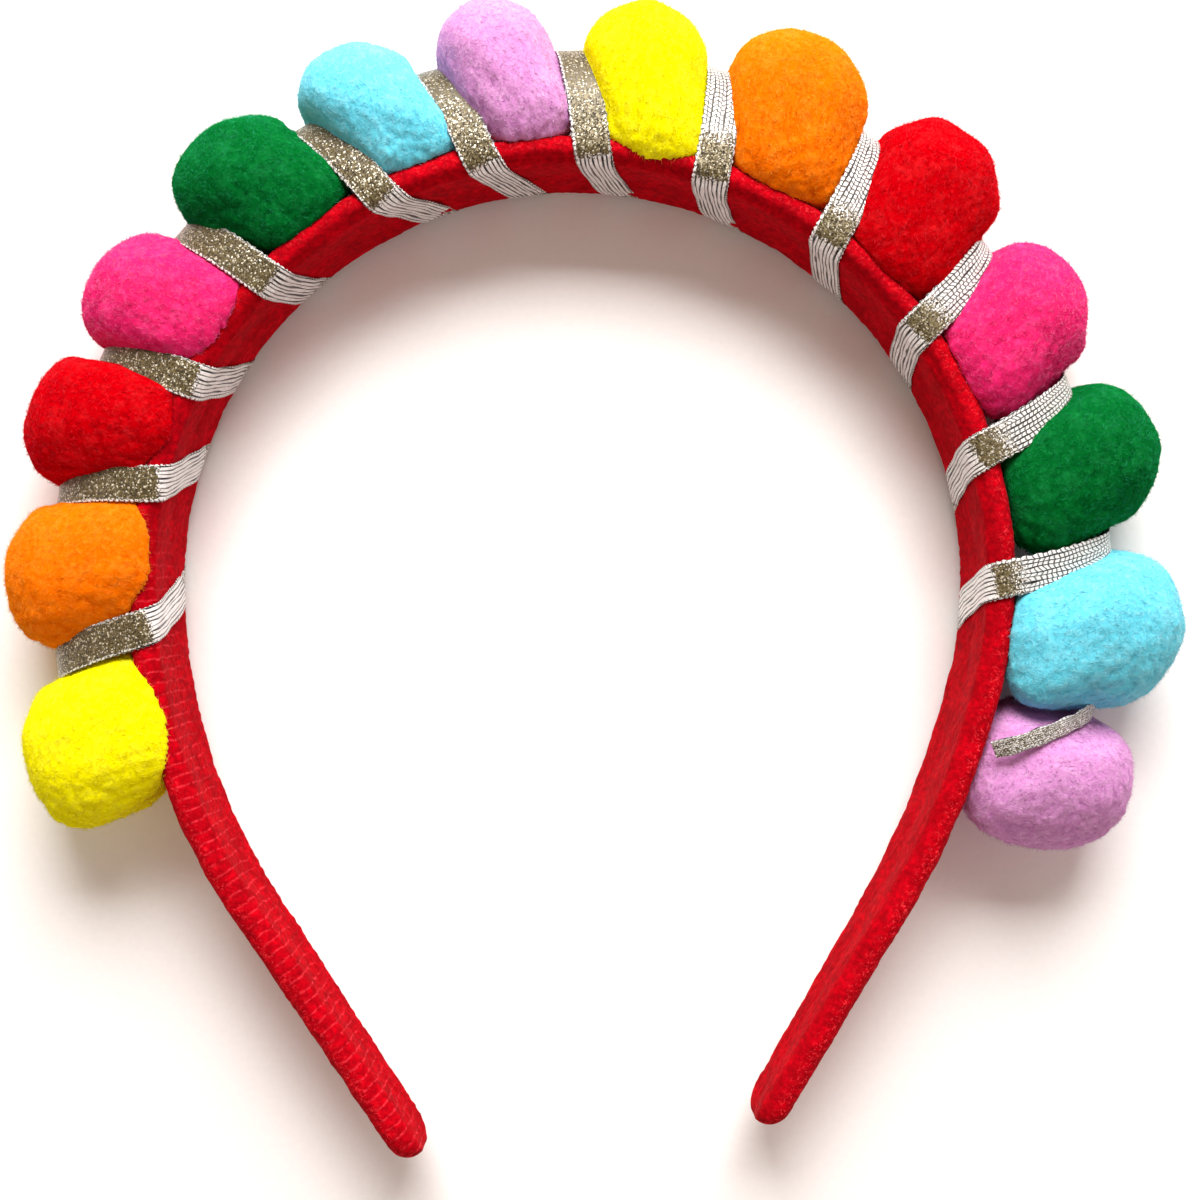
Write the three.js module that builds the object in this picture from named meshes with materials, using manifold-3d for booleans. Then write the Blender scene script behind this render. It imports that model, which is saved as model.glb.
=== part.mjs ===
// A pompom headband: a velvet-covered arched band with fourteen soft pompoms along its outer face,
// and one narrow metallic ribbon wound round band and pompoms, one turn in each gap between two of them.
//
// Millimetres, +Z up. The headband lies on its side: the plane of the arch is level, +Y runs from the
// tips of the legs to the crown, and the pompoms rest on Z = 0. A place on the band is a length along
// its inner face, from the top of the crown, minus towards the left tip and plus towards the right.
// Across the band, depth is measured outwards from the inner face.
import * as THREE from "three";
import { mergeVertices } from "three/addons/utils/BufferGeometryUtils.js";
import Module from "manifold-3d";

const wasm = await Module();
wasm.setup();

// The band, a stiff strip padded with velvet.
const crownRadius = 67.3;
const crownWidth = 18;
const tipWidth = 12.5;
const bandThickness = 4.5;
const tipRounding = 5;
const tipNarrowing = 0.7;
const shoulderRadius = 118;
const legLength = 45;

// The two sides of the band below the top of the crown, which the photographed one doesn't have alike:
// how far the crown's circle runs, how far the wider shoulder curve turns, and its radius and the
// straight leg's length as shares of the named sizes.
const sides = [
  { side: -1, crownDegrees: 90.4, shoulderDegrees: 33.2, shoulderShare: 0.81, legShare: 1.1 },
  { side: 1, crownDegrees: 103.7, shoulderDegrees: 16.7, shoulderShare: 1.19, legShare: 0.9 },
];

// The pompoms, trimmed balls of soft yarn.
const pompomSize = 25.3;
const pompomSink = 0.9;
const pompomPress = 1.3;
const pompomFullness = 2.25;
const tuftRelief = 0.55;
const tuftRows = 2;
const tuftSpacing = 3;
const tuftTurn = new THREE.Vector3(1.1, 1.7, 2.3);
const tuftBeat = 2.4;
const firstPompom = 129.5;
const lastPompom = 133.6;

// The middle of the band lies half a pompom, less what the yarn gives way, above the surface below.
const bandHeight = pompomSize / 2 - pompomPress;

// One row for each pompom, from the left end. place is its share of the run from the first pompom to
// the last, and out, along and high are its reach out from the band, its width along it and its height,
// as shares of the pompom size. lift raises its middle off the band's, by the same measure.
const pompoms = [
  { name: "pompom_01_yellow", colour: 0xf5ee10, place: 0.0, out: 0.885, along: 1.06, high: 1.0, lift: 0.0 },
  { name: "pompom_02_orange", colour: 0xff8a10, place: 0.096, out: 0.86, along: 0.98, high: 1.0, lift: 0.0 },
  { name: "pompom_03_red", colour: 0xd8000f, place: 0.175, out: 0.88, along: 0.96, high: 1.0, lift: 0.0 },
  { name: "pompom_04_pink", colour: 0xe8307f, place: 0.243, out: 0.885, along: 0.92, high: 1.0, lift: 0.0 },
  { name: "pompom_05_green", colour: 0x0a7a22, place: 0.319, out: 0.955, along: 0.95, high: 1.0, lift: 0.0 },
  { name: "pompom_06_cyan", colour: 0x6fd3e6, place: 0.388, out: 0.97, along: 0.87, high: 1.0, lift: 0.0 },
  { name: "pompom_07_lilac", colour: 0xd79be0, place: 0.457, out: 1.01, along: 0.84, high: 1.0, lift: 0.0 },
  { name: "pompom_08_yellow", colour: 0xf5ee10, place: 0.531, out: 0.975, along: 0.83, high: 1.0, lift: 0.0 },
  { name: "pompom_09_orange", colour: 0xff8a10, place: 0.606, out: 1.07, along: 0.97, high: 1.0, lift: 0.0 },
  { name: "pompom_10_red", colour: 0xd8000f, place: 0.685, out: 1.07, along: 0.95, high: 1.0, lift: 0.0 },
  { name: "pompom_11_pink", colour: 0xe8307f, place: 0.76, out: 1.02, along: 0.93, high: 1.0, lift: 0.0 },
  { name: "pompom_12_green", colour: 0x0a7a22, place: 0.836, out: 1.1, along: 0.97, high: 1.0, lift: 0.0 },
  { name: "pompom_13_cyan", colour: 0x6fd3e6, place: 0.918, out: 1.17, along: 1.06, high: 1.04, lift: 0.02 },
  { name: "pompom_14_lilac", colour: 0xd79be0, place: 1.0, out: 1.07, along: 0.98, high: 0.96, lift: -0.02 },
];

// The ribbon. It rises past the middle of the pompoms in each gap, and its front runs nearly straight
// across while its back slants on to the next gap: the swing is the share of a gap that it lags by.
const ribbonWidth = 6;
const ribbonThickness = 1;
const ribbonRise = 2.4;
const ribbonFullness = 0.4;
const ribbonSwing = 0.226;
const ribbonStartTurn = -0.26;
const ribbonLastTurn = 0.25;
const ribbonLastSlant = 4;

// The parts of one turn of the ribbon, from a gap between two pompoms over the front to the next gap:
// the share of the way round that each has ended at, and its number of steps.
const turnParts = [
  { part: "front", end: 0.31, steps: 6 },
  { part: "front edge", end: 0.39, steps: 3 },
  { part: "inner face", end: 0.61, steps: 2 },
  { part: "back edge", end: 0.69, steps: 3 },
  { part: "back", end: 1, steps: 6 },
];

// Soft pieces that press on each other keep this gap.
const clearance = 0.3;

const velvetRed = 0xc80012;
const ribbonSilver = 0xc9c6ba;

// Steps of the faceted surfaces.
const crownStepDegrees = 6;
const shoulderSteps = 5;
const legSteps = 2;
const tipSteps = 4;
const edgeSteps = 5;

// Where the inner face runs: the point, the direction clockwise and the direction outwards at a place.
// The crown's circle has its centre at 0, 0, and each shoulder's circle meets it tangent.
const routes = sides.map((row) => {
  const crown = THREE.MathUtils.degToRad(row.crownDegrees);
  const turn = THREE.MathUtils.degToRad(row.shoulderDegrees);
  const radius = shoulderRadius * row.shoulderShare;
  const crownEnd = crownRadius * crown;
  const shoulderEnd = crownEnd + radius * turn;
  const end = shoulderEnd + legLength * row.legShare;
  return { side: row.side, crown, turn, radius, crownEnd, shoulderEnd, end };
});

function bandAt(place) {
  const route = routes[place < 0 ? 0 : 1];
  const run = Math.abs(place);
  const onCrown = run <= route.crownEnd;
  const past = Math.min(run, route.shoulderEnd) - route.crownEnd;
  const angle = onCrown ? run / crownRadius : route.crown + past / route.radius;
  const radius = onCrown ? crownRadius : route.radius;
  const centre = onCrown ? 0 : crownRadius - route.radius;
  const straight = Math.max(0, run - route.shoulderEnd);
  const x = centre * Math.sin(route.crown) + radius * Math.sin(angle) + straight * Math.cos(angle);
  const y = centre * Math.cos(route.crown) + radius * Math.cos(angle) - straight * Math.sin(angle);
  const outward = new THREE.Vector3(route.side * Math.sin(angle), Math.cos(angle), 0);
  return {
    point: new THREE.Vector3(route.side * x, y, 0),
    outward,
    along: new THREE.Vector3(outward.y, -outward.x, 0),
  };
}

// The band keeps its full width round the crown and tapers along its shoulders and legs.
function widthAt(place) {
  const route = routes[place < 0 ? 0 : 1];
  const share = THREE.MathUtils.smoothstep(Math.abs(place), route.crownEnd, route.end);
  return THREE.MathUtils.lerp(crownWidth, tipWidth, share);
}

function worldPoint(place, depth, height) {
  const at = bandAt(place);
  return at.point.addScaledVector(at.outward, depth).setZ(bandHeight + height);
}

// A closed solid through rings of points, all with as many points in the same order.
function loft(rings) {
  const count = rings[0].length;
  const positions = rings.flat().flatMap((p) => [p.x, p.y, p.z]);
  const faces = [];
  for (let r = 0; r + 1 < rings.length; r++) {
    for (let i = 0; i < count; i++) {
      const a = r * count + i;
      const b = r * count + ((i + 1) % count);
      faces.push(a, b, b + count, a, b + count, a + count);
    }
  }
  const last = (rings.length - 1) * count;
  for (let i = 1; i + 1 < count; i++) {
    faces.push(0, i + 1, i, last, last + i, last + i + 1);
  }
  const geometry = new THREE.BufferGeometry();
  geometry.setAttribute("position", new THREE.Float32BufferAttribute(positions, 3));
  geometry.setIndex(faces);
  return geometry;
}

function toSolid(geometry) {
  const bare = new THREE.BufferGeometry();
  bare.setAttribute("position", geometry.getAttribute("position"));
  bare.setIndex(geometry.getIndex());
  const merged = mergeVertices(bare, 1e-4);
  return new wasm.Manifold(
    new wasm.Mesh({
      numProp: 3,
      vertProperties: merged.attributes.position.array,
      triVerts: new Uint32Array(merged.index.array),
    }),
  );
}

function toGeometry(solid) {
  const mesh = solid.getMesh();
  const geometry = new THREE.BufferGeometry();
  geometry.setAttribute("position", new THREE.BufferAttribute(mesh.vertProperties, mesh.numProp));
  geometry.setIndex(new THREE.BufferAttribute(mesh.triVerts, 1));
  return geometry;
}

function addMesh(group, name, geometry, colour, roughness, metalness) {
  geometry.computeVertexNormals();
  const material = new THREE.MeshStandardMaterial({ color: colour, roughness, metalness });
  const mesh = new THREE.Mesh(geometry, material);
  mesh.name = name;
  group.add(mesh);
}

// The band's section at one place: a strip with half-round edges, grown all round by a clearance.
// squeeze draws it in towards the middle of its width, for the rounded tips.
function bandSection(place, grow, squeeze) {
  const round = bandThickness / 2;
  const reach = Math.max(round, (widthAt(place) / 2) * squeeze) - round;
  const ring = [];
  for (const edge of [1, -1]) {
    for (let i = 0; i <= edgeSteps; i++) {
      const angle = (Math.PI * i) / edgeSteps;
      const depth = round + edge * (round + grow) * Math.cos(angle);
      const height = edge * (reach + (round + grow) * Math.sin(angle));
      ring.push(worldPoint(place, depth, height));
    }
  }
  return ring;
}

// Stations run from the left tip to the right one. A facet of the crown is centred on its top.
function bandStations() {
  const { degToRad, lerp } = THREE.MathUtils;
  const stations = [];
  for (const route of routes) {
    const half = [];
    const step = degToRad(crownStepDegrees) * crownRadius;
    const crownSteps = Math.round(route.crownEnd / step - 0.5);
    for (let i = 0; i < crownSteps; i++) {
      half.push({ run: (i + 0.5) * step, squeeze: 1 });
    }
    for (let i = 0; i <= shoulderSteps; i++) {
      half.push({ run: lerp(route.crownEnd, route.shoulderEnd, i / shoulderSteps), squeeze: 1 });
    }
    for (let i = 1; i <= legSteps; i++) {
      half.push({ run: lerp(route.shoulderEnd, route.end - tipRounding, i / legSteps), squeeze: 1 });
    }
    for (let i = 1; i <= tipSteps; i++) {
      const angle = (Math.PI / 2) * (i / tipSteps);
      const squeeze = 1 - tipNarrowing * (1 - Math.cos(angle));
      half.push({ run: route.end - tipRounding * (1 - Math.sin(angle)), squeeze });
    }
    const signed = half.map((row) => ({ place: route.side * row.run, squeeze: row.squeeze }));
    stations.push(...(route.side < 0 ? signed.reverse() : signed));
  }
  return stations;
}

function bandGeometry(grow) {
  return loft(bandStations().map((row) => bandSection(row.place, grow, row.squeeze)));
}

// Every pompom's middle, half sizes and its own directions, worked out from its row.
const balls = pompoms.map((row) => {
  const place = THREE.MathUtils.lerp(-firstPompom, lastPompom, row.place);
  const reach = row.out * pompomSize;
  const at = bandAt(place);
  const middle = worldPoint(place, bandThickness + (reach - pompomSink) / 2, row.lift * pompomSize);
  const half = new THREE.Vector3(row.along, 0, row.high).multiplyScalar(pompomSize / 2);
  half.y = (reach + pompomSink) / 2;
  return { ...row, place, reach, middle, half, outward: at.outward, alongBand: at.along };
});

// A pompom's surface: a superellipsoid ball whose yarn stands out in tufts. Every point of a
// subdivided icosahedron is a tuft's tip, and one face in so many has a dip between its three tufts.
function tuftedBall(ball, index) {
  const source = new THREE.IcosahedronGeometry(1, tuftRows);
  source.deleteAttribute("normal");
  source.deleteAttribute("uv");
  const merged = mergeVertices(source, 1e-4);
  const tips = merged.getAttribute("position");
  const corners = merged.getIndex().array;
  const turned = new THREE.Euler().setFromVector3(tuftTurn.clone().multiplyScalar(index));
  const turn = new THREE.Matrix4().makeRotationFromEuler(turned);
  const points = [];
  for (let i = 0; i < tips.count; i++) {
    const height = 1 - (tuftRelief / pompomSize) * (1 + Math.sin((index + i) * tuftBeat)) / 2;
    points.push(new THREE.Vector3().fromBufferAttribute(tips, i).multiplyScalar(height));
  }
  const faces = [];
  for (let f = 0; f < corners.length; f += 3) {
    const [a, b, c] = corners.subarray(f, f + 3);
    if ((f / 3) % tuftSpacing) {
      faces.push(a, b, c);
      continue;
    }
    const dip = points[a].clone().add(points[b]).add(points[c]).normalize();
    points.push(dip.multiplyScalar(1 - (2 * tuftRelief) / pompomSize));
    const d = points.length - 1;
    faces.push(a, b, d, b, c, d, c, a, d);
  }
  const placed = points.flatMap((p) => ballPoint(ball, p.applyMatrix4(turn)).toArray());
  const geometry = new THREE.BufferGeometry();
  geometry.setAttribute("position", new THREE.Float32BufferAttribute(placed, 3));
  geometry.setIndex(faces);
  return geometry;
}

// A point of the unit ball carried to the pompom: filled out towards a box by the fullness, scaled,
// turned to the band and pressed flat where it meets the surface below.
function ballPoint(ball, p) {
  const sum = [p.x, p.y, p.z].reduce((total, v) => total + Math.abs(v / p.length()) ** pompomFullness, 0);
  const full = p.multiplyScalar(sum ** (-1 / pompomFullness)).multiply(ball.half);
  const placed = ball.middle
    .clone()
    .addScaledVector(ball.alongBand, full.x)
    .addScaledVector(ball.outward, full.y);
  placed.z = Math.max(0, placed.z + full.z);
  return placed;
}

// A block that takes away all of a pompom beyond the plane half way to its neighbour.
function beyondNeighbour(ball, neighbour) {
  const away = neighbour.middle.clone().sub(ball.middle);
  const start = ball.middle.clone().addScaledVector(away, ball.half.x / (ball.half.x + neighbour.half.x));
  const direction = away.normalize();
  const block = new THREE.BoxGeometry(3 * pompomSize, 3 * pompomSize, 2 * pompomSize);
  const turn = new THREE.Quaternion().setFromUnitVectors(new THREE.Vector3(0, 0, 1), direction);
  const centre = start.addScaledVector(direction, pompomSize - clearance / 2);
  block.applyMatrix4(new THREE.Matrix4().compose(centre, turn, new THREE.Vector3(1, 1, 1)));
  return toSolid(block);
}

// The gaps between neighbours, with one more before the first pompom and one after the last.
// depth is how far out from the inner face the ribbon's middle reaches in the gap.
const gaps = balls.slice(1).map((next, i) => {
  const ball = balls[i];
  return {
    place: THREE.MathUtils.lerp(ball.place, next.place, ball.half.x / (ball.half.x + next.half.x)),
    depth: bandThickness + (ball.reach + next.reach) / 4 + ribbonRise,
  };
});
const outer = [balls[0], balls[balls.length - 1]];
const inner = [gaps[0], gaps[gaps.length - 1]];
gaps.unshift({ place: 2 * outer[0].place - inner[0].place, depth: inner[0].depth });
gaps.push({ place: 2 * outer[1].place - inner[1].place, depth: inner[1].depth });
const gapCurve = new THREE.SplineCurve(gaps.map((gap) => new THREE.Vector2(gap.place, gap.depth)));

function gapAt(turn) {
  const at = gapCurve.getPoint((turn + 1) / (gaps.length - 1));
  return { place: at.x, depth: at.y };
}

// The ribbon's closed route in the band's cross-section, x outwards and y up, a curve for each part.
function wrapCurves(width, depth) {
  const round = bandThickness / 2;
  const off = round + clearance + ribbonThickness / 2;
  const reach = width / 2 - round;
  const rise = reach + off;
  const soft = (1 - ribbonFullness) * (depth - round);
  const front = new THREE.CubicBezierCurve(
    new THREE.Vector2(depth, 0),
    new THREE.Vector2(depth, ribbonFullness * rise),
    new THREE.Vector2(depth - soft, rise),
    new THREE.Vector2(round, rise),
  );
  const back = new THREE.CubicBezierCurve(
    new THREE.Vector2(round, -rise),
    new THREE.Vector2(depth - soft, -rise),
    new THREE.Vector2(depth, -ribbonFullness * rise),
    new THREE.Vector2(depth, 0),
  );
  const quarter = Math.PI / 2;
  return [
    front,
    new THREE.EllipseCurve(round, reach, off, off, quarter, 2 * quarter),
    new THREE.LineCurve(new THREE.Vector2(round - off, reach), new THREE.Vector2(round - off, -reach)),
    new THREE.EllipseCurve(round, -reach, off, off, 2 * quarter, 3 * quarter),
    back,
  ];
}

// The share of the way round that each step of a turn has come.
function turnSteps() {
  const shares = [];
  let start = 0;
  for (const part of turnParts) {
    for (let i = 0; i < part.steps; i++) {
      shares.push(THREE.MathUtils.lerp(start, part.end, i / part.steps));
    }
    start = part.end;
  }
  return shares;
}

// A point of the ribbon's route and the direction away from what it lies on, after so many turns.
function ribbonAt(turns) {
  const whole = Math.floor(turns);
  const share = turns - whole;
  const lag = ribbonSwing * Math.sin(Math.PI * share) ** 2;
  const slant = ribbonLastSlant * Math.max(0, turns - (pompoms.length - 2)) ** 2;
  const gap = gapAt(turns - lag + slant);
  const index = turnParts.findIndex((row) => share < row.end);
  const start = index ? turnParts[index - 1].end : 0;
  const along = (share - start) / (turnParts[index].end - start);
  const curve = wrapCurves(widthAt(gap.place), gap.depth)[index];
  const point = curve.getPointAt(along);
  const way = curve.getTangentAt(along);
  const outward = bandAt(gap.place).outward.multiplyScalar(way.y);
  outward.z = -way.x;
  return { point: worldPoint(gap.place, point.x, point.y), away: outward };
}

// The ribbon as a strip of the given width, from one distance off its route to another. The ends can be
// lengthened by a share of a turn.
function ribbonStrip(width, inner, outer, longer) {
  const shares = turnSteps();
  const lastTurn = pompoms.length - 2;
  const turns = [];
  for (let whole = -1; whole <= lastTurn; whole++) {
    turns.push(...shares.map((share) => whole + share));
  }
  const start = ribbonStartTurn - longer;
  const end = lastTurn + ribbonLastTurn + longer;
  const stations = [start, ...turns.filter((turn) => turn > start && turn < end), end];
  const small = 1e-3;
  return loft(
    stations.map((turn) => {
      const { point, away } = ribbonAt(turn);
      const way = ribbonAt(turn + small).point.sub(ribbonAt(turn - small).point).normalize();
      const across = way.cross(away).normalize().multiplyScalar(width / 2);
      return [
        point.clone().add(across).addScaledVector(away, inner),
        point.clone().sub(across).addScaledVector(away, inner),
        point.clone().sub(across).addScaledVector(away, outer),
        point.clone().add(across).addScaledVector(away, outer),
      ];
    }),
  );
}

const headband = new THREE.Group();
addMesh(headband, "velvet_band", bandGeometry(0), velvetRed, 0.9, 0);

const halfRibbon = ribbonThickness / 2;
const ribbon = ribbonStrip(ribbonWidth, -halfRibbon, halfRibbon, 0);
addMesh(headband, "silver_ribbon", ribbon, ribbonSilver, 0.35, 0.9);

// Each pompom is seated on the band, pressed against its neighbours and tied down by the ribbon.
const bandRoom = toSolid(bandGeometry(clearance));
const endRoom = clearance / crownWidth;
const roomWidth = ribbonWidth + 4 * clearance;
const ribbonRoom = toSolid(ribbonStrip(roomWidth, -halfRibbon - clearance, pompomSize / 2, endRoom));
balls.forEach((ball, i) => {
  let solid = toSolid(tuftedBall(ball, i)).subtract(bandRoom).subtract(ribbonRoom);
  for (const neighbour of [balls[i - 1], balls[i + 1]]) {
    if (neighbour) solid = solid.subtract(beyondNeighbour(ball, neighbour));
  }
  const bodies = solid.decompose();
  const main = bodies.reduce((best, body) => (body.volume() > best.volume() ? body : best));
  addMesh(headband, ball.name, toGeometry(main), ball.colour, 1, 0);
});

// The origin is on the surface below the middle of the whole part.
const box = new THREE.Box3().setFromObject(headband);
const middle = box.getCenter(new THREE.Vector3());
headband.position.set(-middle.x, -middle.y, -box.min.z);
const part = new THREE.Group();
part.add(headband);

export default part;
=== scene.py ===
"""The looks of a pompom headband that lies on its side: a velvet band, a woven metallic ribbon wound round
it, and fourteen pompoms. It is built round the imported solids, part by part, as the real one is made."""

import bpy
import numpy as np
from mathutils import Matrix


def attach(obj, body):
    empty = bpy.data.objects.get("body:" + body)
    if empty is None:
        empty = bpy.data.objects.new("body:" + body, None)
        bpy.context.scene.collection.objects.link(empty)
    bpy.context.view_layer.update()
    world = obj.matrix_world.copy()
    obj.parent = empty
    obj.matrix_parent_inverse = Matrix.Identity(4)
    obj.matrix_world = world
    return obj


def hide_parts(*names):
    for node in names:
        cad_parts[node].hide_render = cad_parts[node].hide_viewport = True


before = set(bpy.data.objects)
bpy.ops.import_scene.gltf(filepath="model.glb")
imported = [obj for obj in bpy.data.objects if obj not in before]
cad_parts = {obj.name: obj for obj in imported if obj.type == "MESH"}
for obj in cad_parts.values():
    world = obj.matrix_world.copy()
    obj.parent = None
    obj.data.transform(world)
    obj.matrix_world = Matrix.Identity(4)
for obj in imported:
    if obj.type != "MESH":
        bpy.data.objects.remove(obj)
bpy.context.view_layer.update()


# The camera hangs straight above the headband, the crown towards the top of the picture, as over a table
# top. Its height and lens come from how far the photographed band's upright faces lean in the picture.
camera_data = bpy.data.cameras.new("camera")
camera_data.sensor_fit = "AUTO"
camera_data.sensor_width = 36
camera_data.lens = 36 * 1455 / 1200
camera = bpy.data.objects.new("camera", camera_data)
camera.location = (-0.00012, -0.00323, 0.2537)
bpy.context.scene.collection.objects.link(camera)
bpy.context.scene.camera = camera


# The band: a springy plastic strip bent to an arch and covered in red velvet, pulled tight and glued. It
# widens towards the crown, its edges are half round, and the pile shows as soft flecks of painted
# highlight, with fine cross ribs on the left leg. Lengths here are millimetres, and the arch's middle is
# the origin.
MIDDLE_TO_PART = np.array([-3.6233, 0.0704, 0.0])
BAND_HEIGHT = 11.35
BAND_THICKNESS = 4.5
BAND_LEAN = 0.11
CROWN_RADIUS = 67.3
CROWN_WIDTH = 18
TIP_WIDTH = 12.5
TIP_ROUNDING = 5
RIB_SPACING = 1.9
# Left and right: how far the crown's arc and the shoulder's turn go, the shoulder's radius, the leg.
CROWN_ARC = np.radians([90.4, 103.7])
SHOULDER_TURN = np.radians([33.2, 16.7])
SHOULDER_RADIUS = np.array([95.58, 140.42])
LEG = np.array([49.5, 40.5])
CROWN_END = CROWN_RADIUS * CROWN_ARC
SHOULDER_END = CROWN_END + SHOULDER_RADIUS * SHOULDER_TURN
BAND_END = SHOULDER_END + LEG


def ease(low, high, value):
    """0 below low, 1 above high, and 3s^2 - 2s^3 between them."""
    share = np.clip((value - low) / (high - low), 0, 1)
    return share**2 * (3 - 2 * share)


def on_band(place):
    """Points of the inner face and the directions outwards at places along it, minus to the left. The angle
    from the top grows by place over radius on the crown's circle and then on the shoulder's, which touch,
    and the leg goes on straight from there."""
    side = (place >= 0).astype(int)
    sign = np.where(side, 1.0, -1.0)
    run = np.abs(place)
    crown, radius = CROWN_ARC[side], SHOULDER_RADIUS[side]
    past = np.clip(run, CROWN_END[side], SHOULDER_END[side]) - CROWN_END[side]
    on_crown = run <= CROWN_END[side]
    angle = np.where(on_crown, run / CROWN_RADIUS, crown + past / radius)
    turning = np.where(on_crown, CROWN_RADIUS, radius)
    centre = np.where(on_crown, 0, CROWN_RADIUS - radius)
    straight = np.maximum(0, run - SHOULDER_END[side])
    x = centre * np.sin(crown) + turning * np.sin(angle) + straight * np.cos(angle)
    y = centre * np.cos(crown) + turning * np.cos(angle) - straight * np.sin(angle)
    point = np.stack([sign * x, y, 0 * x], -1)
    return point, np.stack([sign * np.sin(angle), np.cos(angle), 0 * x], -1)


def band_width(place):
    """The crown's width, eased to the tip's by 3s^2 - 2s^3 along shoulder and leg."""
    side = (place >= 0).astype(int)
    share = (np.abs(place) - CROWN_END[side]) / (BAND_END[side] - CROWN_END[side])
    share = np.clip(share, 0, 1)
    return CROWN_WIDTH + (TIP_WIDTH - CROWN_WIDTH) * share**2 * (3 - 2 * share)


def from_band(place, depth, height):
    """Points at a depth outwards from the inner face and a height above the band's middle plane. Below that
    plane the band leans in by its lean times the way down, which fades to nothing 12 mm out."""
    point, outward = on_band(place)
    depth = depth - BAND_LEAN * np.maximum(0, -height) * ease(12, 4, depth)
    point = point + outward * depth[..., None]
    point[..., 2] = BAND_HEIGHT + height
    return point


def off_band(points):
    """The reverse of on_band: places along the band and depths outwards. The angle from the crown's middle
    tells the side, and then the angle from the shoulder's middle tells shoulder from leg."""
    side = (points[..., 0] >= 0).astype(int)
    x, y = np.abs(points[..., 0]), points[..., 1]
    crown, radius, turn = CROWN_ARC[side], SHOULDER_RADIUS[side], SHOULDER_TURN[side]
    angle = np.arctan2(x, y)
    from_x = x - (CROWN_RADIUS - radius) * np.sin(crown)
    from_y = y - (CROWN_RADIUS - radius) * np.cos(crown)
    later = np.arctan2(from_x, from_y)
    leg = crown + turn
    down = from_x * np.cos(leg) - from_y * np.sin(leg)
    run = np.where(later < leg, CROWN_END[side] + radius * (later - crown), SHOULDER_END[side] + down)
    from_leg = from_x * np.sin(leg) + from_y * np.cos(leg)
    out = np.where(later < leg, np.hypot(from_x, from_y), from_leg) - radius
    on_crown = angle <= crown
    run = np.where(on_crown, CROWN_RADIUS * angle, run)
    return run * np.where(side, 1, -1), np.where(on_crown, np.hypot(x, y) - CROWN_RADIUS, out)


def soft_noise(points, wavelength, seed):
    """Smooth noise round zero, mostly within one: a sum of 24 sine waves of one length, each with a random
    direction and phase."""
    random = np.random.default_rng(seed)
    ways = random.normal(size=(24, points.shape[-1]))
    ways *= 2 * np.pi / wavelength / np.linalg.norm(ways, axis=1, keepdims=True)
    phases = random.uniform(0, 2 * np.pi, 24)
    return np.sin(points @ ways.T + phases).sum(-1) * 0.5 * np.sqrt(2 / 24)


def skin(rings, poles, along, across):
    """A closed skin over rings of points (rows, columns, 3): two triangles join neighbours of one ring to
    those of the next, and a fan closes each end to its pole. Also each corner's place on the unrolled skin,
    from one length for each row and one more across than there are columns."""
    rows, columns = rings.shape[:2]
    row, column = np.mgrid[0 : rows - 1, 0:columns]
    corner_row = row[..., None] + np.array([0, 0, 1, 0, 1, 1])
    corner_column = column[..., None] + np.array([0, 1, 1, 0, 1, 0])
    vertex = corner_row * columns + corner_column % columns
    flat = np.stack([along[corner_row], across[corner_column]], -1)
    ends = np.arange(columns)
    after = (ends + 1) % columns
    last = (rows - 1) * columns
    top = np.stack([0 * ends + rows * columns, after, ends], -1)
    bottom = np.stack([0 * ends + rows * columns + 1, last + ends, last + after], -1)
    middle = (across[:-1] + across[1:]) / 2
    top_across = np.stack([middle, across[1:], across[:-1]], -1)
    end_across = np.stack([middle, across[:-1], across[1:]], -1)
    top_flat = np.stack([np.full((columns, 3), along[0]), top_across], -1)
    end_flat = np.stack([np.full((columns, 3), along[-1]), end_across], -1)
    points = np.concatenate([rings.reshape(-1, 3), np.asarray(poles, float)])
    triangles = np.concatenate([vertex.reshape(-1, 3), top, bottom])
    return points, triangles, np.concatenate([flat.reshape(-1, 3, 2), top_flat, end_flat])


def make_piece(name, points, triangles, material, flat=None, smooth=True, **marks):
    """A mesh object from millimetre points and triangles, turned outwards if its enclosed volume comes out
    below zero. flat is its UV map, and marks are numbers kept for each point."""
    corners = points[triangles]
    if np.einsum("ij,ij->", corners[:, 0], np.cross(corners[:, 1], corners[:, 2])) < 0:
        triangles = triangles[:, ::-1]
        flat = None if flat is None else flat[:, ::-1]
    mesh = bpy.data.meshes.new(name)
    mesh.vertices.add(len(points))
    mesh.vertices.foreach_set("co", ((points + MIDDLE_TO_PART) / 1000).ravel())
    mesh.loops.add(triangles.size)
    mesh.loops.foreach_set("vertex_index", triangles.ravel().astype(np.int32))
    mesh.polygons.add(len(triangles))
    mesh.polygons.foreach_set("loop_start", np.arange(0, triangles.size, 3, dtype=np.int32))
    mesh.polygons.foreach_set("use_smooth", np.full(len(triangles), smooth))
    mesh.update(calc_edges=True)
    if flat is not None:
        mesh.uv_layers.new(name="UVMap").data.foreach_set("uv", flat.ravel())
    for mark, values in marks.items():
        mesh.attributes.new(mark, "FLOAT", "POINT").data.foreach_set("value", values.ravel())
    mesh.materials.append(material)
    piece = bpy.data.objects.new(name, mesh)
    bpy.context.scene.collection.objects.link(piece)
    return piece


def colour(hex_code):
    """The linear colour of an sRGB hex code: ((c + 0.055) / 1.055)^2.4, or c / 12.92 near black."""
    parts = [int(hex_code[i : i + 2], 16) / 255 for i in (0, 2, 4)]
    return (*(((c + 0.055) / 1.055) ** 2.4 if c > 0.04045 else c / 12.92 for c in parts), 1.0)


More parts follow.
